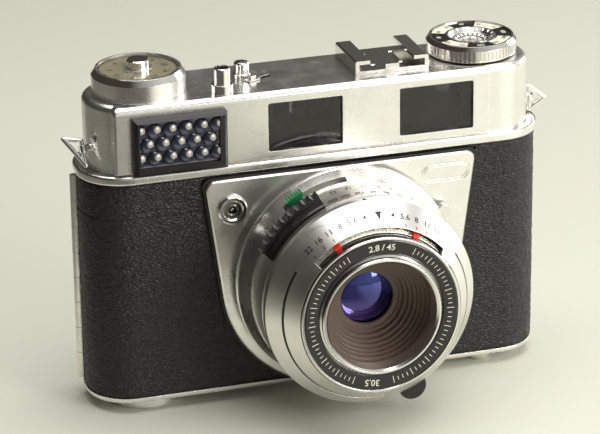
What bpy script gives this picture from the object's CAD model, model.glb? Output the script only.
import math

import bmesh
import bpy
from mathutils import Matrix, Vector, noise


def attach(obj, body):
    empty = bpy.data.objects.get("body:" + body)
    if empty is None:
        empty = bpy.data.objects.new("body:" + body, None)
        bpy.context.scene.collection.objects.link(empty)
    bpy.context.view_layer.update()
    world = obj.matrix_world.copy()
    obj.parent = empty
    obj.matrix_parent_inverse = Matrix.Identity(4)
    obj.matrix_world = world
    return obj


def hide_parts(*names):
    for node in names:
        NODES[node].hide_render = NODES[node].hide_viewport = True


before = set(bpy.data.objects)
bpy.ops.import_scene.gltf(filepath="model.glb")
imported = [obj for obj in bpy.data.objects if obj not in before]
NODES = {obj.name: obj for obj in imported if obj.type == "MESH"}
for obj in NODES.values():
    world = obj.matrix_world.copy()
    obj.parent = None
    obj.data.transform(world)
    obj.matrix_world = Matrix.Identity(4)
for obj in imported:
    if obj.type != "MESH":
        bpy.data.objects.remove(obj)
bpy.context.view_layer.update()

MM = 0.001

# shared positions of the lens axis, as in the CAD frame (millimetres)
XL, ZL, YP = 4.65, 33.1, -13.75
R_COV, D_RIM = 29.3, 26.25
LENS = ("lens", XL * MM, ZL * MM)


def r_out(d):
    return R_COV - (d - D_RIM) / 1.36


# ------------------------------------------------------------------ node helpers
class Mat:
    """A small builder for node materials."""

    def __init__(self, name):
        self.m = bpy.data.materials.new(name)
        self.m.use_nodes = True
        self.t = self.m.node_tree
        self.t.nodes.clear()
        self.out = self.n("ShaderNodeOutputMaterial")
        self.tc = self.n("ShaderNodeTexCoord")

    def n(self, kind, **props):
        node = self.t.nodes.new(kind)
        for k, v in props.items():
            setattr(node, k, v)
        return node

    def link(self, a, b):
        self.t.links.new(a, b)

    def put(self, sock, v):
        if hasattr(v, "is_linked") or hasattr(v, "node"):
            self.link(v, sock)
        else:
            sock.default_value = v

    def scaled(self, sx, sy=None, sz=None):
        m = self.n("ShaderNodeMapping")
        m.inputs["Scale"].default_value = (sx, sy or sx, sz or sx)
        self.link(self.tc.outputs["Object"], m.inputs["Vector"])
        return m.outputs["Vector"]

    def noise(self, vec, scale=1.0, detail=4.0, rough=0.55, distort=0.0):
        x = self.n("ShaderNodeTexNoise")
        self.link(vec, x.inputs["Vector"])
        x.inputs["Scale"].default_value = scale
        x.inputs["Detail"].default_value = detail
        x.inputs["Roughness"].default_value = rough
        x.inputs["Distortion"].default_value = distort
        return x.outputs["Fac"]

    def voronoi(self, vec, feature="F1"):
        x = self.n("ShaderNodeTexVoronoi", feature=feature)
        self.link(vec, x.inputs["Vector"])
        x.inputs["Scale"].default_value = 1.0
        return x.outputs["Distance"]

    def ramp(self, fac, stops):
        x = self.n("ShaderNodeValToRGB")
        e = x.color_ramp.elements
        while len(e) < len(stops):
            e.new(0.5)
        for el, (p, c) in zip(e, stops):
            el.position = p
            el.color = (c, c, c, 1) if isinstance(c, (int, float)) else (*c, 1)
        self.link(fac, x.inputs["Fac"])
        return x.outputs["Color"]

    def rng(self, v, a, b, c, d):
        x = self.n("ShaderNodeMapRange")
        self.link(v, x.inputs["Value"])
        for k, q in zip(("From Min", "From Max", "To Min", "To Max"), (a, b, c, d)):
            x.inputs[k].default_value = q
        return x.outputs["Result"]

    def math(self, op, a, b=0.0, c=0.0):
        x = self.n("ShaderNodeMath", operation=op)
        for s, v in zip(x.inputs, (a, b, c)):
            self.put(s, v)
        return x.outputs[0]

    def mix(self, fac, a, b, mode="MIX"):
        x = self.n("ShaderNodeMix", data_type="RGBA", blend_type=mode)
        self.put(x.inputs["Factor"], fac)
        self.put(x.inputs[6], (*a, 1) if isinstance(a, tuple) else a)
        self.put(x.inputs[7], (*b, 1) if isinstance(b, tuple) else b)
        return x.outputs[2]

    def bump(self, height, dist, strength=1.0, normal=None):
        x = self.n("ShaderNodeBump")
        x.inputs["Strength"].default_value = strength
        x.inputs["Distance"].default_value = dist
        self.link(height, x.inputs["Height"])
        if normal is not None:
            self.link(normal, x.inputs["Normal"])
        return x.outputs["Normal"]

    def xyz(self):
        s = self.n("ShaderNodeSeparateXYZ")
        self.link(self.tc.outputs["Object"], s.inputs["Vector"])
        return s.outputs

    def bevel(self, radius):
        x = self.n("ShaderNodeBevel", samples=4)
        x.inputs["Radius"].default_value = radius
        return x.outputs["Normal"]

    def radius_from(self, axis, cx, cy):
        """Distance from a line: axis 'lens' or 'z' through (cx, cy), in metres."""
        s = self.xyz()
        a = self.math("SUBTRACT", s[0], cx)
        b = self.math("SUBTRACT", s[2] if axis == "lens" else s[1], cy)
        return self.math("SQRT", self.math("ADD", self.math("MULTIPLY", a, a), self.math("MULTIPLY", b, b)))

    def finish(self, color, rough, metallic=0.0, normal=None, **extra):
        p = self.n("ShaderNodeBsdfPrincipled")
        self.put(p.inputs["Base Color"], (*color, 1) if isinstance(color, tuple) else color)
        self.put(p.inputs["Roughness"], rough)
        self.put(p.inputs["Metallic"], metallic)
        if normal is not None:
            self.link(normal, p.inputs["Normal"])
        for k, v in extra.items():
            self.put(p.inputs[k], v)
        self.link(p.outputs[0], self.out.inputs[0])
        self.p = p
        return self.m


def metal(name, base, rough, grain=9000.0, depth=2.0e-6, spread=0.09, tint=0.06, bevel=0.00015,
          turned=None, polish=None, brushed=None, dust=0.03, black_beyond=None):
    """Plated or anodised metal with grain, handling smudges, hairlines, dust and softened edges."""
    m = Mat(name)
    smudge = m.noise(m.scaled(95.0), 1.0, 6.0, 0.6, 0.6)
    patch = m.noise(m.scaled(28.0), 1.0, 3.0)
    fine = m.noise(m.scaled(grain), 1.0, 2.0)
    hair = m.noise(m.scaled(130.0, 130.0, 9000.0), 1.0, 2.0)
    hair = m.ramp(hair, [(0.66, 0.0), (0.72, 1.0)])
    specks = m.ramp(m.voronoi(m.scaled(900.0)), [(0.03, 1.0), (0.07, 0.0)])
    height = fine
    if brushed:
        height = m.noise(m.scaled(*brushed), 1.0, 3.0)
    if turned:
        rr = m.radius_from(*turned)
        comb = m.n("ShaderNodeCombineXYZ")
        m.link(m.math("MULTIPLY", rr, 16000.0), comb.inputs[0])
        height = m.noise(comb.outputs[0], 1.0, 2.0)
    r = m.rng(smudge, 0.25, 0.8, rough - spread * 0.6, rough + spread)
    r = m.math("ADD", r, m.math("MULTIPLY", hair, 0.05))
    r = m.math("ADD", r, m.math("MULTIPLY", specks, 0.25))
    nrm = m.bump(height, depth * 3.0, 1.0, m.bevel(bevel) if bevel else None)
    if polish:
        # a band polished brighter than the rest: above z0 and outside a radius
        axis, cx, cy, r0, z0 = polish
        s = m.xyz()
        up = m.math("GREATER_THAN", s[2], z0)
        out = m.math("GREATER_THAN", m.radius_from(axis, cx, cy), r0)
        band = m.math("MULTIPLY", up, out)
        r = m.math("ADD", m.math("MULTIPLY", r, m.math("SUBTRACT", 1.0, band)), m.math("MULTIPLY", band, 0.11))
    dark = tuple(c * (1 - tint * 2.2) for c in base)
    warm = (base[0] * 1.0, base[1] * (1 - tint * 0.4), base[2] * (1 - tint))
    col = m.mix(m.rng(patch, 0.3, 0.7, 0, 1), base, warm)
    col = m.mix(m.math("MULTIPLY", m.rng(smudge, 0.45, 0.8, 0, 1), 0.7), col, dark)
    col = m.mix(m.math("MULTIPLY", specks, dust * 8), col, (0.55, 0.52, 0.47))
    full = 1.0
    if black_beyond:
        # a black painted tab that stands out past the ring
        zone = m.math("GREATER_THAN", m.radius_from(*LENS), black_beyond)
        full = m.math("SUBTRACT", 1.0, zone)
        col = m.mix(zone, col, (0.012, 0.011, 0.011))
        r = m.math("ADD", m.math("MULTIPLY", r, full), m.math("MULTIPLY", zone, 0.38))
    return m.finish(col, r, full, nrm)


def paint(name, base, rough, wear=(0.3, 0.3, 0.3), coat=0.0, grain=2600.0, depth=4e-6, metallic=0.0, bevel=0.0001, plated=None):
    """Enamel, lacquer or moulded plastic with fine orange peel, dust and rubbed patches."""
    m = Mat(name)
    peel = m.noise(m.scaled(grain), 1.0, 3.0)
    rub = m.noise(m.scaled(160.0), 1.0, 7.0, 0.65)
    specks = m.ramp(m.voronoi(m.scaled(1100.0)), [(0.025, 1.0), (0.06, 0.0)])
    r = m.math("ADD", m.rng(rub, 0.3, 0.8, rough - 0.07, rough + 0.13), m.math("MULTIPLY", specks, 0.2))
    col = m.mix(m.rng(rub, 0.45, 0.85, 0, 0.22), base, wear)
    col = m.mix(m.math("MULTIPLY", specks, 0.22), col, (0.5, 0.47, 0.42))
    nrm = m.bump(peel, depth, 1.0, m.bevel(bevel) if bevel else None)
    if plated:
        # the hinge leaf and its knuckles carry bright plating
        zone = m.math("LESS_THAN", m.radius_from("z", plated[0], plated[1]), plated[2])
        col = m.mix(zone, col, (0.80, 0.79, 0.76))
        metallic = zone
        r = m.math("SUBTRACT", r, m.math("MULTIPLY", zone, 0.28))
    return m.finish(col, r, metallic, nrm, **{"Coat Weight": coat, "Coat Roughness": 0.08})


def clear(name, tint, rough=0.015, ior=1.5, film=0.0, level=0.5):
    m = Mat(name)
    smear = m.noise(m.scaled(140.0), 1.0, 6.0, 0.6, 0.8)
    ripple = m.noise(m.scaled(60.0), 1.0, 2.0)
    specks = m.ramp(m.voronoi(m.scaled(700.0)), [(0.02, 1.0), (0.05, 0.0)])
    r = m.math("ADD", m.rng(smear, 0.4, 0.9, rough, rough + 0.06), m.math("MULTIPLY", specks, 0.2))
    col = m.mix(m.rng(smear, 0.3, 0.8, 0, 1), tint, tuple(c * 0.93 for c in tint))
    m.finish(col, r, 0.0, m.bump(ripple, 2e-6, 0.3), **{"Transmission Weight": 1.0, "IOR": ior, "Coat Weight": film, "Specular IOR Level": level})
    return m.m


def coated(name, film_a, film_b, amount, tint):
    """Optical glass with a blue-violet coating that shows in the reflection."""
    m = Mat(name)
    smear = m.noise(m.scaled(170.0), 1.0, 6.0, 0.6, 1.0)
    glass = m.n("ShaderNodeBsdfGlass")
    glass.inputs["Color"].default_value = (*tint, 1)
    m.link(m.rng(smear, 0.3, 0.9, 0.0, 0.05), glass.inputs["Roughness"])
    glass.inputs["IOR"].default_value = 1.52
    gl = m.n("ShaderNodeBsdfGlossy")
    s = m.xyz()
    low = m.rng(s[2], (ZL - 6.5) * MM, (ZL + 5.0) * MM, 0.0, 1.0)
    col = m.mix(low, film_b, film_a)
    col = m.mix(m.math("MULTIPLY", m.rng(smear, 0.5, 0.85, 0, 1), 0.25), col, (0.55, 0.5, 0.75))
    m.link(col, gl.inputs["Color"])
    m.link(m.rng(smear, 0.3, 0.9, 0.015, 0.09), gl.inputs["Roughness"])
    mix = m.n("ShaderNodeMixShader")
    mix.inputs[0].default_value = amount
    m.link(glass.outputs[0], mix.inputs[1])
    m.link(gl.outputs[0], mix.inputs[2])
    m.link(mix.outputs[0], m.out.inputs[0])
    return m.m


def leather(name):
    """Grained leatherette: creases sink and darken, pebble tops are rubbed a little shinier."""
    m = Mat(name)
    at = m.n("ShaderNodeAttribute", attribute_name="grain")
    top = at.outputs["Fac"]
    pore = m.voronoi(m.scaled(3100.0))
    tiny = m.noise(m.scaled(5200.0), 1.0, 3.0)
    patch = m.noise(m.scaled(34.0), 1.0, 4.0)
    scuff = m.ramp(m.noise(m.scaled(70.0, 70.0, 160.0), 1.0, 8.0, 0.7), [(0.60, 0.0), (0.74, 1.0)])
    col = m.mix(top, (0.0020, 0.0013, 0.0012), (0.0115, 0.0076, 0.0068))
    col = m.mix(m.rng(patch, 0.35, 0.7, 0.0, 0.35), col, (0.015, 0.0105, 0.0095))
    col = m.mix(m.math("MULTIPLY", scuff, 0.18), col, (0.10, 0.08, 0.068))
    r = m.rng(top, 0.0, 1.0, 0.60, 0.33)
    r = m.math("ADD", r, m.rng(patch, 0.3, 0.7, -0.04, 0.06))
    h = m.math("ADD", m.math("MULTIPLY", pore, 0.6), m.math("MULTIPLY", tiny, 0.5))
    wav = m.n("ShaderNodeVectorMath", operation="ADD")
    wig = m.n("ShaderNodeTexNoise")
    m.link(m.scaled(420.0), wig.inputs["Vector"])
    wig.inputs["Scale"].default_value = 1.0
    m.link(m.scaled(820.0, 820.0, 1350.0), wav.inputs[0])
    m.link(wig.outputs["Color"], wav.inputs[1])
    crease = m.ramp(m.voronoi(wav.outputs[0], "DISTANCE_TO_EDGE"), [(0.0, 0.0), (0.20, 0.8), (0.45, 1.0)])
    col = m.mix(m.math("MULTIPLY", m.math("SUBTRACT", 1.0, crease), 0.75), col, (0.0012, 0.0009, 0.0008))
    wide = m.bump(crease, 1.5e-4, 0.9)
    nrm = m.bump(h, 2.0e-5, 0.8, wide)
    return m.finish(col, r, 0.0, nrm, **{"Sheen Weight": 0.03, "Sheen Roughness": 0.5, "Specular IOR Level": 0.55})


# ------------------------------------------------------------------ the materials
DRUM = ("z", -0.0470, 0.0008)
KNOB = ("z", 0.0478, 0.0010)
SAT = (0.88, 0.875, 0.86)
BRI = (0.86, 0.85, 0.835)
ALU = (0.84, 0.835, 0.81)

M = {
    "satin": metal("satin_chrome_grained", SAT, 0.25, grain=7000.0, depth=1.6e-6, bevel=0.0003),
    "satin_drum": metal("satin_chrome_drum", SAT, 0.28, brushed=(300.0, 300.0, 9000.0), depth=1.6e-6, polish=(*DRUM, 0.0114, 0.0904)),
    "bright": metal("bright_chrome_worn", BRI, 0.13, depth=0.8e-6, spread=0.06, tint=0.04),
    "hinge": metal("hinge_plated", BRI, 0.24, depth=2.0e-6, tint=0.1),
    "knob": metal("bright_chrome_knob", BRI, 0.20, depth=1.2e-6, bevel=0.00008, polish=(*KNOB, 0.0110, 0.0896)),
    "plate": metal("fine_satin_plate", (0.90, 0.895, 0.87), 0.28, grain=8200.0, depth=1.5e-6, bevel=0.0002),
    "turned": metal("turned_satin_ring", ALU, 0.26, turned=LENS, depth=1.4e-6, bevel=0.00012),
    "turned_dark": metal("turned_satin_dull", (0.66, 0.65, 0.62), 0.31, turned=LENS, depth=1.8e-6, bevel=0.00012, tint=0.12),
    "aperture": metal("turned_satin_black_tab", (0.70, 0.69, 0.66), 0.31, turned=LENS, depth=1.8e-6, tint=0.1, black_beyond=0.02875),
    "door": paint("door_black_plated_hinge", (0.016, 0.016, 0.018), 0.55, (0.12, 0.12, 0.12), grain=1500.0, depth=1.0e-5, plated=(-0.06475, 0.0049, 0.0034)),
    "cover": metal("turned_satin_cover", (0.86, 0.85, 0.81), 0.29, turned=LENS, depth=1.2e-6, bevel=0.00015, tint=0.03),
    "bezel": metal("bright_turned_bezel", BRI, 0.15, turned=LENS, depth=1.0e-6, bevel=0.00012, tint=0.05),
    "steel": metal("brushed_steel", (0.58, 0.57, 0.56), 0.32, brushed=(60.0, 9000.0, 9000.0), depth=2.2e-6, tint=0.1),
    "brass": metal("turned_brass", (0.78, 0.60, 0.30), 0.25, grain=5000.0, tint=0.12),
    "mirror": metal("silvered_mirror", (0.92, 0.92, 0.93), 0.03, spread=0.01, depth=2e-7, tint=0.01, bevel=0.0),
    "chassis": paint("chassis_crackle_black", (0.016, 0.016, 0.018), 0.55, (0.12, 0.12, 0.12), grain=1500.0, depth=1.4e-5),
    "plastic": paint("moulded_black_plastic", (0.008, 0.008, 0.009), 0.34, (0.06, 0.055, 0.05), grain=3500.0),
    "rubber": paint("gasket_black", (0.006, 0.006, 0.006), 0.5, (0.05, 0.05, 0.05), grain=3000.0),
    "enamel": paint("black_enamel", (0.006, 0.006, 0.007), 0.20, (0.04, 0.038, 0.036), coat=0.6),
    "throat": paint("brown_black_anodised", (0.125, 0.086, 0.068), 0.36, (0.24, 0.17, 0.13), metallic=0.15, grain=4200.0),
    "grip": paint("grip_black", (0.006, 0.0055, 0.006), 0.30, (0.05, 0.045, 0.05), coat=0.3, grain=3800.0),
    "cream": paint("dial_cream", (0.47, 0.43, 0.31), 0.42, (0.40, 0.37, 0.28), grain=5000.0, depth=2e-6),
    "green": paint("green_lacquer", (0.010, 0.20, 0.060), 0.30, (0.02, 0.3, 0.12), coat=0.5),
    "red": paint("red_lacquer", (0.74, 0.018, 0.008), 0.28, (0.8, 0.12, 0.06), coat=0.6),
    "ink": paint("engraved_ink_black", (0.006, 0.006, 0.007), 0.45, (0.05, 0.05, 0.05), grain=6000.0, bevel=0.0),
    "ink_soft": paint("engraved_ink_grey", (0.045, 0.042, 0.038), 0.5, (0.12, 0.12, 0.11), grain=6000.0, bevel=0.0),
    "ink_white": paint("filled_white", (0.74, 0.70, 0.58), 0.45, (0.5, 0.46, 0.38), grain=6000.0, bevel=0.0),
    "ink_green": paint("filled_green", (0.006, 0.24, 0.06), 0.4, (0.02, 0.3, 0.1), grain=6000.0, bevel=0.0),
    "ink_red": paint("filled_red", (0.55, 0.012, 0.008), 0.4, (0.6, 0.08, 0.05), grain=6000.0, bevel=0.0),
    "glass": clear("finder_glass_bloomed", (0.42, 0.39, 0.40), level=0.08),
    "dial_glass": clear("dial_cover_clear", (0.98, 0.97, 0.92), 0.03),
    "bead": clear("bead_glass", (0.80, 0.84, 0.95), 0.05, 1.5),
    "lens": coated("coated_front_glass", (0.075, 0.115, 0.44), (0.115, 0.055, 0.27), 0.46, (0.80, 0.78, 0.95)),
    "lens_in": coated("coated_inner_glass", (0.10, 0.10, 0.60), (0.30, 0.10, 0.40), 0.35, (0.85, 0.82, 0.95)),
    "leather": leather("leatherette_grain"),
}


def selenium():
    m = Mat("selenium_cell_face")
    cells = m.n("ShaderNodeTexVoronoi", feature="F1")
    m.link(m.scaled(310.0), cells.inputs["Vector"])
    cells.inputs["Scale"].default_value = 1.0
    cloud = m.noise(m.scaled(420.0), 1.0, 5.0, 0.6, 0.5)
    col = m.mix(m.rng(cloud, 0.35, 0.7, 0, 1), (0.035, 0.042, 0.085), (0.16, 0.17, 0.24))
    tan = m.ramp(m.noise(m.scaled(300.0), 1.0, 3.0), [(0.56, 0.0), (0.66, 1.0)])
    col = m.mix(m.math("MULTIPLY", tan, 0.55), col, (0.42, 0.34, 0.22))
    return m.finish(col, m.rng(cloud, 0.3, 0.8, 0.2, 0.42), 0.45, m.bump(cloud, 2e-5, 0.6))


M["selenium"] = selenium()

LOOK = {
    "chassis": "chassis", "front_plate": "plate", "front_plate_gasket": "rubber", "door_hinge": "hinge",
    "bottom_plate": "satin", "bottom_plate_screws": "steel", "tripod_socket": "steel", "right_foot": "bright",
    "top_housing": "satin", "counter_drum": "satin_drum", "counter_glass": "dial_glass", "accessory_shoe": "bright",
    "deck_collars": "bright", "cable_release_socket": "bright", "finder_glass": "glass", "finder_blocks": "chassis",
    "meter_frame": "plastic", "meter_window": "bead", "selenium_cell": "selenium", "meter_movement": "brass",
    "strap_lugs": "bright", "sync_socket": "bright", "lens_base": "turned", "shutter_case": "chassis",
    "iris_blades": "enamel", "shutter_blades": "steel", "front_cover": "cover", "inner_lenses": "lens_in",
    "back_door": "door", "pressure_plate": "enamel", "latch_bolt": "steel", "back_release_button": "bright",
    "wind_lever": "satin", "take_up_spool": "plastic", "sprocket_shaft": "steel", "rewind_release_button": "bright",
    "counter_dial": "cream", "counter_slide": "steel", "drum_button": "bright", "rewind_knob": "knob",
    "film_reminder_dial": "enamel", "release_button": "bright", "rangefinder_mirror": "mirror", "meter_needle": "brass",
    "strap_ring_right": "bright", "strap_ring_left": "bright", "sync_lever": "green", "aperture_ring": "aperture",
    "dof_pointer_left": "red", "dof_pointer_right": "red", "speed_ring": "turned_dark", "speed_ring_grips": "grip",
    "distance_scale_ring": "turned", "focus_barrel": "bezel", "name_ring": "enamel", "filter_bezel": "bezel",
    "lens_throat": "throat", "front_lens": "lens",
}
for name, key in LOOK.items():
    ob = NODES[name]
    ob.data.materials.clear()
    ob.data.materials.append(M[key])


# ------------------------------------------------------------------ piece helpers
def piece(name, bm, mat, body, smooth=False):
    me = bpy.data.meshes.new(name)
    bm.to_mesh(me)
    bm.free()
    ob = bpy.data.objects.new(name, me)
    bpy.context.scene.collection.objects.link(ob)
    me.materials.append(M[mat])
    if smooth:
        for p in me.polygons:
            p.use_smooth = True
    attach(ob, body)
    return ob


def lens_frame(r, a, d, ur, ud, nr, nd, lift=0.02):
    """A matrix at polar (r, a) on the lens, depth d: letters' up is (ur, ud) and the face normal (nr, nd) in (radial, forward)."""
    a = math.radians(a)
    rad, fwd = Vector((math.cos(a), 0, math.sin(a))), Vector((0, -1, 0))
    up, nrm = (rad * ur + fwd * ud).normalized(), (rad * nr + fwd * nd).normalized()
    right = up.cross(nrm)
    p = Vector((XL, YP, ZL)) + rad * r + fwd * d + nrm * lift
    m = Matrix((right, up, nrm)).transposed().to_4x4()
    m.translation = p * MM
    return m


def deck_frame(cx, cy, r, a, z, outward=True, lift=0.02):
    a = math.radians(a)
    rad = Vector((math.cos(a), math.sin(a), 0))
    up = rad if outward else -rad
    nrm = Vector((0, 0, 1))
    m = Matrix((up.cross(nrm), up, nrm)).transposed().to_4x4()
    m.translation = (Vector((cx, cy, z + lift)) + rad * r) * MM
    return m


def add_text(bm, text, m, size, thick=0.02, squeeze=1.0):
    """Digits as raised ink: an outline font filled and given thickness, centred on the matrix."""
    cu = bpy.data.curves.new("t", "FONT")
    cu.body = text
    cu.size = size * MM
    cu.align_x, cu.align_y = "CENTER", "CENTER"
    cu.extrude = thick * MM / 2
    cu.resolution_u = 3
    cu.offset = size * MM * 0.012
    ob = bpy.data.objects.new("t", cu)
    bpy.context.scene.collection.objects.link(ob)
    bpy.context.view_layer.update()
    me = ob.evaluated_get(bpy.context.evaluated_depsgraph_get()).to_mesh()
    part = bmesh.new()
    part.from_mesh(me)
    part.transform(m @ Matrix.Diagonal((squeeze, 1, 1, 1)))
    tmp = bpy.data.meshes.new("t")
    part.to_mesh(tmp)
    part.free()
    bm.from_mesh(tmp)
    bpy.data.meshes.remove(tmp)
    ob.evaluated_get(bpy.context.evaluated_depsgraph_get()).to_mesh_clear()
    bpy.data.objects.remove(ob)
    bpy.data.curves.remove(cu)


def add_poly(bm, pts, m, thick=0.02):
    """A flat plate with outline pts (millimetres) and a little thickness, placed by a matrix."""
    h = thick / 2
    lo = [bm.verts.new(m @ Vector((x * MM, y * MM, -h * MM))) for x, y in pts]
    hi = [bm.verts.new(m @ Vector((x * MM, y * MM, h * MM))) for x, y in pts]
    bm.faces.new(hi)
    bm.faces.new(lo[::-1])
    for i in range(len(pts)):
        j = (i + 1) % len(pts)
        bm.faces.new((lo[i], lo[j], hi[j], hi[i]))


def add_band(bm, prof, a0, a1, centre, axis, n=64):
    """A swept strip: prof is a closed loop of (radius, depth or height) in millimetres."""
    rings = []
    full = abs(a1 - a0) >= 359.9
    for i in range(n if full else n + 1):
        a = math.radians(a0 + (a1 - a0) * i / n)
        c, s = math.cos(a), math.sin(a)
        if axis == "lens":
            rings.append([bm.verts.new((MM * (centre[0] + r * c), MM * (YP - d), MM * (centre[1] + r * s))) for r, d in prof])
        else:
            rings.append([bm.verts.new((MM * (centre[0] + r * c), MM * (centre[1] + r * s), MM * z)) for r, z in prof])
    k = len(prof)
    for i in range(len(rings) - (0 if full else 1)):
        A, B = rings[i], rings[(i + 1) % len(rings)]
        for j in range(k):
            bm.faces.new((A[j], A[(j + 1) % k], B[(j + 1) % k], B[j]))
    if not full:
        bm.faces.new(rings[0])
        bm.faces.new(rings[-1][::-1])


# ------------------------------------------------------------------ leatherette as its own grained skins
HL, HD, RC = 65.0, 13.75, 12.5
PC, PHW, PTOP, PR = 5.0, 38.6, 62.9, 34.3


def under_plate(x, z, o):
    """Inside the front plate's outline grown by o."""
    if math.hypot(x - PC, z - ZL) < PR + o:
        return True
    hw, top, r = PHW + o, PTOP + o * 0.8, PR + o
    dx, dz = -hw, top - ZL
    t = math.atan2(dz, dx) + math.acos(r / math.hypot(dx, dz))
    tx, tz = r * math.cos(t), ZL + r * math.sin(t)
    if z > top or z < tz:
        return False
    f = (z - tz) / (top - tz)
    return abs(x - PC) < abs(tx) + (hw - abs(tx)) * f


def arc(cx, cy, a0, a1, step):
    n = max(2, int(round(abs(math.radians(a1 - a0)) * RC / step)))
    return [(cx + RC * math.cos(math.radians(a0 + (a1 - a0) * i / n)), cy + RC * math.sin(math.radians(a0 + (a1 - a0) * i / n)),
             math.cos(math.radians(a0 + (a1 - a0) * i / n)), math.sin(math.radians(a0 + (a1 - a0) * i / n))) for i in range(n + 1)]


def line(x0, y0, x1, y1, nx, ny, step):
    n = max(1, int(round(math.hypot(x1 - x0, y1 - y0) / step)))
    return [(x0 + (x1 - x0) * i / n, y0 + (y1 - y0) * i / n, nx, ny) for i in range(n + 1)]


def joined(*parts):
    out = []
    for p in parts:
        for q in p:
            if not out or math.hypot(q[0] - out[-1][0], q[1] - out[-1][1]) > 1e-3:
                out.append(q)
    return out


def grain_at(s, z, seed):
    """0 in a crease, 1 on a pebble top: warped cells, long creases and a fine mottle."""
    p = Vector((s, z, seed))
    w = noise.noise_vector(p * 0.45)
    q = Vector((s + w.x * 0.9, (z + w.y * 0.9) * 0.86, seed)) / 1.05
    dist = noise.voronoi(q)[0]
    cell = min(1.0, (dist[1] - dist[0]) / 0.42)
    cell = cell * cell * (3 - 2 * cell)
    fold = abs(noise.noise(Vector((s * 0.33, z * 0.5, seed + 7.0))))
    fold = min(1.0, fold / 0.09)
    mott = 0.5 + 0.5 * noise.noise(p * 1.9)
    return max(0.0, min(1.0, 0.62 * cell + 0.22 * fold + 0.22 * mott))


def skin(name, path, z0, z1, seed, body, node, hole, step=0.42):
    bm = bmesh.new()
    layer = bm.verts.layers.float.new("grain")
    nz = int(round((z1 - z0) / step))
    s, grid, prev = 0.0, [], None
    last = len(path) - 1
    for i, (x, y, nx, ny) in enumerate(path):
        if prev:
            s += math.hypot(x - prev[0], y - prev[1])
        prev = (x, y)
        col = []
        for k in range(nz + 1):
            z = z0 + (z1 - z0) * k / nz
            g = grain_at(s, z, seed)
            drop = 0.34 * (1 - g)
            drop += 0.26 * math.exp(-(((z - 54.03) / 0.26) ** 2))
            edge = min(z - z0, z1 - z, abs(i) * step, abs(last - i) * step)
            if edge < 0.9:
                drop += 0.28 * (1 - edge / 0.9) ** 2
            v = bm.verts.new(((x - nx * drop) * MM, (y - ny * drop) * MM, z * MM))
            v[layer] = g * (1.0 - 0.7 * math.exp(-(((z - 54.03) / 0.3) ** 2)))
            col.append(v)
        grid.append(col)
    for i in range(last):
        for k in range(nz):
            xm = (path[i][0] + path[i + 1][0]) / 2
            ym = (path[i][1] + path[i + 1][1]) / 2
            zm = z0 + (z1 - z0) * (k + 0.5) / nz
            if hole and ym < -13.0 and hole(xm, zm):
                continue
            bm.faces.new((grid[i][k], grid[i + 1][k], grid[i + 1][k + 1], grid[i][k + 1]))
    loose = [v for v in bm.verts if not v.link_faces]
    bmesh.ops.delete(bm, geom=loose, context="VERTS")
    rim = [e for e in bm.edges if e.is_boundary]
    ext = bmesh.ops.extrude_edge_only(bm, edges=rim)
    for v in [g for g in ext["geom"] if isinstance(g, bmesh.types.BMVert)]:
        x, y = v.co.x / MM, v.co.y / MM
        cx = max(-HL + RC, min(HL - RC, x))
        cy = max(-HD + RC, min(HD - RC, y))
        n = Vector((x - cx, y - cy, 0))
        n = n.normalized() if n.length > 1e-6 else Vector((0, 0, 0))
        v.co -= n * 0.4 * MM
    bmesh.ops.recalc_face_normals(bm, faces=bm.faces)
    ob = piece(name, bm, "leather", body, smooth=True)
    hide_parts(node)
    return ob


ST = 0.42
front_path = joined(
    line(-HL, 1.9, -HL, -1.25, -1, 0, ST), arc(-52.5, -1.25, 180, 270, ST), line(-52.5, -HD, 52.5, -HD, 0, -1, ST),
    arc(52.5, -1.25, 270, 360, ST), line(HL, -1.25, HL, 1.25, 1, 0, ST), arc(52.5, 1.25, 0, 13.9, ST))
skin("leatherette_front", front_path, 1.72, 63.68, 3.0, "camera_body", "leather_front", lambda x, z: under_plate(x, z, 0.35))
back_path = joined(arc(52.5, 1.25, 18.0, 90, ST), line(52.5, HD, -52.5, HD, 0, 1, ST), arc(-52.5, 1.25, 90, 151.0, ST))
skin("leatherette_back", back_path, 3.52, 63.33, 11.0, "back_door", "leather_back", None, step=0.42)

# ------------------------------------------------------------------ bead window of the meter
def bead_look():
    m = Mat("bead_lens_facets")
    at = m.n("ShaderNodeAttribute", attribute_name="tone")
    x = m.n("ShaderNodeValToRGB")
    el = x.color_ramp.elements
    while len(el) < 5:
        el.new(0.5)
    for k, (pos, c) in zip(el, ((0.0, (0.006, 0.006, 0.009)), (0.3, (0.024, 0.024, 0.045)), (0.55, (0.085, 0.088, 0.155)),
                                (0.78, (0.24, 0.225, 0.20)), (1.0, (0.34, 0.30, 0.25)))):
        k.position, k.color = pos, (*c, 1)
    smear = m.noise(m.scaled(260.0), 1.0, 5.0, 0.6, 0.5)
    tone = m.math("ADD", at.outputs["Fac"], m.rng(smear, 0.3, 0.7, -0.09, 0.09))
    m.link(tone, x.inputs["Fac"])
    dust = m.ramp(m.voronoi(m.scaled(900.0)), [(0.03, 1.0), (0.07, 0.0)])
    col = m.mix(m.math("MULTIPLY", dust, 0.35), x.outputs["Color"], (0.5, 0.47, 0.40))
    return m.finish(col, m.rng(smear, 0.3, 0.8, 0.10, 0.24), 0.0, m.bump(smear, 6e-6, 0.4), **{"Coat Weight": 0.8, "Coat Roughness": 0.05})


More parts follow.
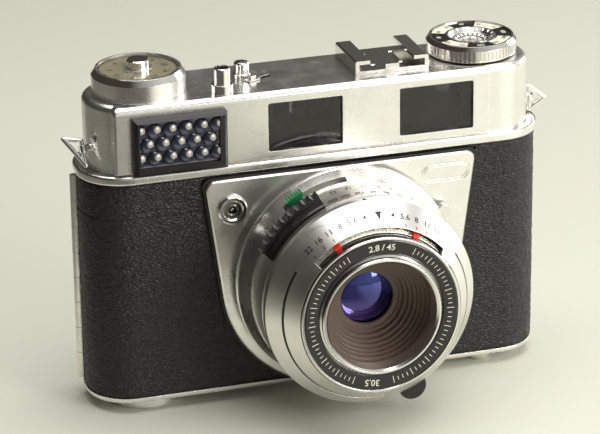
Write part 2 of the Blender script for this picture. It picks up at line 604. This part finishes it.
M["beads"] = bead_look()
MW = (-51.4, -29.4, 69.2, 81.9)
bm = bmesh.new()
tone = bm.verts.layers.float.new("tone")
RB, YC = 2.55, -14.25
RCAP = math.sqrt(RB * RB - 1.35 * 1.35)
zc = (MW[2] + MW[3]) / 2
for j in (-1, 0, 1):
    for i in range(7):
        x0 = MW[0] + 4.3 + (i - 1) * 4.3 - (2.0 if j == 0 else 0.0)
        if x0 < MW[0] - 1.5 or x0 > MW[1] + 1.5:
            continue
        z0 = zc - j * 3.9
        rings = []
        for a in range(15):
            r = RCAP * a / 14
            ring = []
            for b in range(36 if a else 1):
                t = 2 * math.pi * b / 36
                u, v = r * math.cos(t), r * math.sin(t)
                vert = bm.verts.new(((x0 + u) * MM, (YC - math.sqrt(RB * RB - r * r)) * MM, (z0 + v) * MM))
                un, vn = u / RCAP, v / RCAP
                dd = math.hypot(un - 0.27, vn - 0.26)
                if dd < 0.46:
                    w = 1.0 - 0.30 * (dd / 0.46) ** 2
                elif math.hypot(un, vn) > 0.88:
                    w = 0.03
                elif dd < 0.55:
                    w = 0.12
                else:
                    w = 0.24 + 0.42 * max(0.0, -0.45 * un - 0.85 * vn)
                vert[tone] = w
                ring.append(vert)
            rings.append(ring)
        for a in range(14):
            A, B = rings[a], rings[a + 1]
            for b in range(36):
                c = (b + 1) % 36
                if a == 0:
                    bm.faces.new((A[0], B[c], B[b]))
                else:
                    bm.faces.new((A[b], A[c], B[c], B[b]))
for co, no in (((MW[0] + 0.1, 0, 0), (-1, 0, 0)), ((MW[1] - 0.1, 0, 0), (1, 0, 0)), ((0, 0, MW[2] + 0.1), (0, 0, -1)), ((0, 0, MW[3] - 0.1), (0, 0, 1))):
    bmesh.ops.bisect_plane(bm, geom=bm.verts[:] + bm.edges[:] + bm.faces[:], dist=1e-7, plane_co=Vector(co) * MM, plane_no=no, clear_outer=True)
nx, nz = 44, 26
X0, X1, Z0, Z1 = MW[0] + 0.08, MW[1] - 0.08, MW[2] + 0.08, MW[3] - 0.08
sheet = [[bm.verts.new(((X0 + (X1 - X0) * i / nx) * MM, -15.6 * MM, (Z0 + (Z1 - Z0) * k / nz) * MM)) for k in range(nz + 1)] for i in range(nx + 1)]
for i in range(nx + 1):
    for k in range(nz + 1):
        rim = min(i, nx - i, k, nz - k)
        sheet[i][k][tone] = 0.85 if rim == 0 else (0.5 if rim == 1 else 0.16)
for i in range(nx):
    for k in range(nz):
        bm.faces.new((sheet[i][k], sheet[i + 1][k], sheet[i + 1][k + 1], sheet[i][k + 1]))
window = piece("meter_bead_window", bm, "beads", "camera_body", smooth=True)
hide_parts("meter_window")

# ------------------------------------------------------------------ scales and marks
F_CYL = dict(ur=0, ud=1, nr=1, nd=0)
bm = bmesh.new()
for i, t in enumerate(["22", "16", "11", "8", "5.6", "4", "2.8"]):
    a = 103.0 - i * 8.6
    add_text(bm, t, lens_frame(28.6, a, 14.6, **F_CYL), 2.0)
    add_poly(bm, [(-0.1, 0), (0.1, 0), (0.1, 0.55), (-0.1, 0.55)], lens_frame(28.6, a, 12.75, **F_CYL))
piece("aperture_numbers", bm, "ink", "aperture_ring")

bm = bmesh.new()
for i, t in enumerate(["500", "250", "125", "60", "30", "15", "8", "4", "2", "1"]):
    a = 106.5 - i * 7.6
    add_text(bm, t, lens_frame(28.9, a, 19.6, **F_CYL), 2.0, squeeze=0.92)
    add_poly(bm, [(-0.1, 0), (0.1, 0), (0.1, 0.6), (-0.1, 0.6)], lens_frame(28.9, a, 21.2, **F_CYL))
piece("speed_numbers", bm, "ink", "speed_ring")

# distance scale under the cover window: numbers and ticks on the cone of the focus ring
CONE = dict(ur=-0.592, ud=0.806, nr=0.806, nd=0.592)
bm = bmesh.new()
bm2 = bmesh.new()
for i, t in enumerate(["3", "3.5", "4", "5", "6", "7", "8", "10", "15", "20", "50"]):
    a = 134.0 - i * 8.3
    r = 23.35
    d = D_RIM + (R_COV - 1.75 - r) * 1.36
    add_text(bm2 if t in ("10", "20") else bm, t, lens_frame(r, a, d, **CONE), 1.35)
for i in range(34):
    a = 136.0 - i * 2.75
    r = 22.82
    d = D_RIM + (R_COV - 1.75 - r) * 1.36
    add_poly(bm, [(-0.05, -0.2), (0.05, -0.2), (0.05, 0.2), (-0.05, 0.2)], lens_frame(r, a, d, **CONE))
piece("distance_numbers", bm, "ink_soft", "focus_ring")
piece("distance_numbers_red", bm2, "ink_red", "focus_ring")

# front cover: black groove fill, index marks, and a plain depth scale
COUT = dict(ur=0.592, ud=-0.806, nr=0.806, nd=0.592)


def cone_pt(r, a, lift=0.015):
    return lens_frame(r, a, D_RIM + (R_COV - r) * 1.36, lift=lift, **COUT)


bm = bmesh.new()
add_band(bm, [(r_out(30.56) - 0.10, 30.56), (r_out(31.09) - 0.10, 31.09), (r_out(31.09) - 0.22, 31.0), (r_out(30.56) - 0.22, 30.6)], 148.3, 389.7, (XL, ZL), "lens", 160)
piece("cover_groove_fill", bm, "ink", "camera_body")

bm = bmesh.new()
add_poly(bm, [(-0.95, 1.25), (0.95, 1.25), (0.55, 0.0), (0.12, -1.35), (-0.12, -1.35), (-0.55, 0.0)], cone_pt(26.35, 87.5))
add_poly(bm, [(-0.75, -0.75), (0.75, -0.75), (0.0, 0.8)], lens_frame(29.3, 92.5, 25.25, ur=0, ud=-1, nr=1, nd=0))
for i, t in enumerate(["4", "5.6", "8", "11", "16", "22"]):
    for sgn in (1, -1):
        add_text(bm, t, cone_pt(26.25, 87.5 + sgn * (8.6 + i * 7.6)), 2.35)
        add_poly(bm, [(-0.11, 0), (0.11, 0), (0.11, 0.85), (-0.11, 0.85)], cone_pt(24.45, 87.5 + sgn * (8.6 + i * 7.6)))
piece("cover_index_marks", bm, "ink", "camera_body")

# name ring: a plain ring of focal length, speed numbers and ticks in white
bm = bmesh.new()
RING = dict(ur=1, ud=0.1, nr=-0.1, nd=0.995)


def ring_d(r):
    return 35.7 + (r - 17.6) * 0.1


for t, a in (("2.8", 96.0), ("/", 88.5), ("45", 82.0), ("30.5", 262.0)):
    add_text(bm, t, lens_frame(19.35, a, ring_d(19.35), **RING), 2.5)
for a0, a1, n in ((118, 246, 33), (280, 422, 37)):
    for i in range(n):
        a = a0 + (a1 - a0) * i / (n - 1)
        h = 1.0 if i % 4 == 0 else 0.55
        add_poly(bm, [(-0.09, -h), (0.09, -h), (0.09, h), (-0.09, h)], lens_frame(19.35, a, ring_d(19.35), **RING))
piece("name_ring_marks", bm, "ink_white", "lens_front")

# sync marks beside the slot: a dot and two wedges in green
bm = bmesh.new()
for a, shape in ((112.5, "dot"), (121.5, "tri"), (103.0, "tri")):
    r, d = 29.75, 8.05
    m = lens_frame(r, a, d, ur=0.18, ud=-1, nr=1, nd=0.23, lift=0.03)
    if shape == "dot":
        add_poly(bm, [(0.55 * math.cos(k * math.pi / 8), 0.55 * math.sin(k * math.pi / 8)) for k in range(16)], m)
    else:
        add_poly(bm, [(-0.5, -0.5), (0.5, -0.5), (0.0, 0.6)], m)
piece("sync_marks", bm, "ink_green", "camera_body")

# frame counter dial: numbers and ticks
bm = bmesh.new()
for i in range(36):
    a = 90 + i * 10
    long_ = i % 4 == 0
    add_poly(bm, [(-0.09, -0.45 if long_ else -0.2), (0.09, -0.45 if long_ else -0.2), (0.09, 0.3), (-0.09, 0.3)],
             deck_frame(-47.0, 0.8, 9.9, a, 91.1))
    if long_:
        add_text(bm, str(i), deck_frame(-47.0, 0.8, 7.6, a, 91.1), 2.4)
piece("counter_numbers", bm, "ink_soft", "counter_dial")

# film reminder dial: alternate pale sectors and plain numbers
bm = bmesh.new()
for i in range(4):
    a0 = 20 + i * 90
    add_band(bm, [(7.3, 90.46), (10.9, 90.46), (10.9, 90.49), (7.3, 90.49)], a0, a0 + 44, (47.8, 1.0), "z", 24)
piece("reminder_sectors", bm, "ink_white", "film_reminder_dial")
bm, bm2 = bmesh.new(), bmesh.new()
for i, t in enumerate(["10", "25", "40", "50", "64", "80", "100", "160", "200", "320", "400", "800"]):
    a = 27 + i * 30
    on_pale = any((a - (20 + k * 90)) % 360 < 44 for k in range(4))
    add_text(bm if on_pale else bm2, t, deck_frame(47.8, 1.0, 9.2, a, 90.49), 1.7, squeeze=0.85)
piece("reminder_numbers_dark", bm, "ink", "film_reminder_dial")
piece("reminder_numbers_pale", bm2, "ink_white", "film_reminder_dial")

# ------------------------------------------------------------------ floor, light, camera
bm = bmesh.new()
N = 24
for i in range(N + 1):
    for k in range(N + 1):
        x, y = -3.0 + 6.0 * i / N, -3.0 + 7.0 * k / N
        bm.verts.new((x, y, -0.00306))
bm.verts.ensure_lookup_table()
for i in range(N):
    for k in range(N):
        a = i * (N + 1) + k
        bm.faces.new((bm.verts[a], bm.verts[a + N + 1], bm.verts[a + N + 2], bm.verts[a + 1]))
me = bpy.data.meshes.new("floor_sheet")
bm.to_mesh(me)
bm.free()
floor = bpy.data.objects.new("floor_sheet", me)
bpy.context.scene.collection.objects.link(floor)
fm = Mat("pale_paper")
fib = fm.noise(fm.scaled(700.0), 1.0, 5.0)
s = fm.xyz()
far = fm.rng(s[1], 0.0, 0.95, 0.0, 1.0)
col = fm.mix(far, (0.60, 0.60, 0.515), (0.30, 0.285, 0.235))
# metal in front of the lens side mirrors a darker part of the room than the camera sees
side = fm.rng(s[0], 0.048, 0.004, 0.0, 1.0)
near = fm.rng(s[1], -0.075, -0.13, 0.0, 1.0)
glossy = fm.n("ShaderNodeLightPath").outputs["Is Glossy Ray"]
col = fm.mix(fm.math("MULTIPLY", glossy, fm.math("MULTIPLY", side, near)), col, (0.055, 0.048, 0.045))
west = fm.rng(s[0], -0.09, -0.16, 0.0, 0.85)
col = fm.mix(fm.math("MULTIPLY", glossy, west), col, (0.07, 0.065, 0.055))
col = fm.mix(fm.rng(fib, 0.3, 0.7, 0, 0.06), col, (0.45, 0.43, 0.37))
floor.data.materials.append(fm.finish(col, 0.6, 0.0, fm.bump(fib, 1.2e-5, 0.4), **{"Specular IOR Level": 0.25}))


def area(name, loc, target, size, power, color=(1, 0.97, 0.92), size_y=None):
    li = bpy.data.lights.new(name, "AREA")
    li.shape = "RECTANGLE"
    li.size, li.size_y = size, size_y or size
    li.energy = power
    li.color = color
    ob = bpy.data.objects.new(name, li)
    ob.location = loc
    ob.rotation_mode = "QUATERNION"
    ob.rotation_quaternion = (Vector(target) - Vector(loc)).to_track_quat("-Z", "Y")
    bpy.context.scene.collection.objects.link(ob)
    return ob


area("key_softbox", (0.10, 0.08, 1.20), (0, -0.03, 0.03), 1.25, 18.5, (1, 0.99, 0.96))
area("right_bank", (0.80, -0.85, 0.48), (0, 0, 0.04), 0.8, 12.0, (1, 0.99, 0.96), 0.6)
area("right_rear", (1.0, 0.35, 0.30), (0.02, 0, 0.04), 0.5, 3.0, (1, 0.99, 0.96), 0.4)

world = bpy.data.worlds.new("studio_room")
bpy.context.scene.world = world
world.use_nodes = True
wt = world.node_tree
wt.nodes.clear()
wo = wt.nodes.new("ShaderNodeOutputWorld")
bg = wt.nodes.new("ShaderNodeBackground")
tc = wt.nodes.new("ShaderNodeTexCoord")
sep = wt.nodes.new("ShaderNodeSeparateXYZ")
wt.links.new(tc.outputs["Generated"], sep.inputs[0])
ramp = wt.nodes.new("ShaderNodeValToRGB")
mr = wt.nodes.new("ShaderNodeMapRange")
mr.inputs["From Min"].default_value = -0.15
mr.inputs["From Max"].default_value = 0.7
mx = wt.nodes.new("ShaderNodeMath")
mx.operation = "MULTIPLY_ADD"
mx.inputs[1].default_value = 0.8
my = wt.nodes.new("ShaderNodeMath")
my.operation = "MULTIPLY"
my.inputs[1].default_value = -0.35
wt.links.new(sep.outputs["Y"], my.inputs[0])
wt.links.new(sep.outputs["X"], mx.inputs[0])
wt.links.new(my.outputs[0], mx.inputs[2])
wt.links.new(mx.outputs[0], mr.inputs["Value"])
wt.links.new(mr.outputs["Result"], ramp.inputs["Fac"])
e = ramp.color_ramp.elements
e[0].position, e[0].color = 0.0, (0.060, 0.052, 0.046, 1)
e[1].position, e[1].color = 1.0, (0.80, 0.80, 0.76, 1)
wt.links.new(ramp.outputs["Color"], bg.inputs["Color"])
bg.inputs["Strength"].default_value = 0.8
wt.links.new(bg.outputs[0], wo.inputs[0])

cam_data = bpy.data.cameras.new("camera")
cam_data.sensor_width = 36.0
cam_data.lens = 192.0
cam_data.clip_start, cam_data.clip_end = 0.01, 20.0
cam = bpy.data.objects.new("camera", cam_data)
right = Vector((0.954911304465893, -0.2966680100104237, -0.011510536030164288))
up = Vector((0.12088688502655033, 0.3531135535093988, 0.9277376673157895))
back = Vector((-0.27116556129387853, -0.8872986589443377, 0.37305539562343254))
cm = Matrix((right, up, back)).transposed().to_4x4()
cm.translation = Vector((-242.4448638365189, -785.356962349643, 373.4160551171819)) * MM
cam.matrix_world = cm
bpy.context.scene.collection.objects.link(cam)
bpy.context.scene.camera = cam
bpy.context.scene.view_settings.view_transform = "Standard"
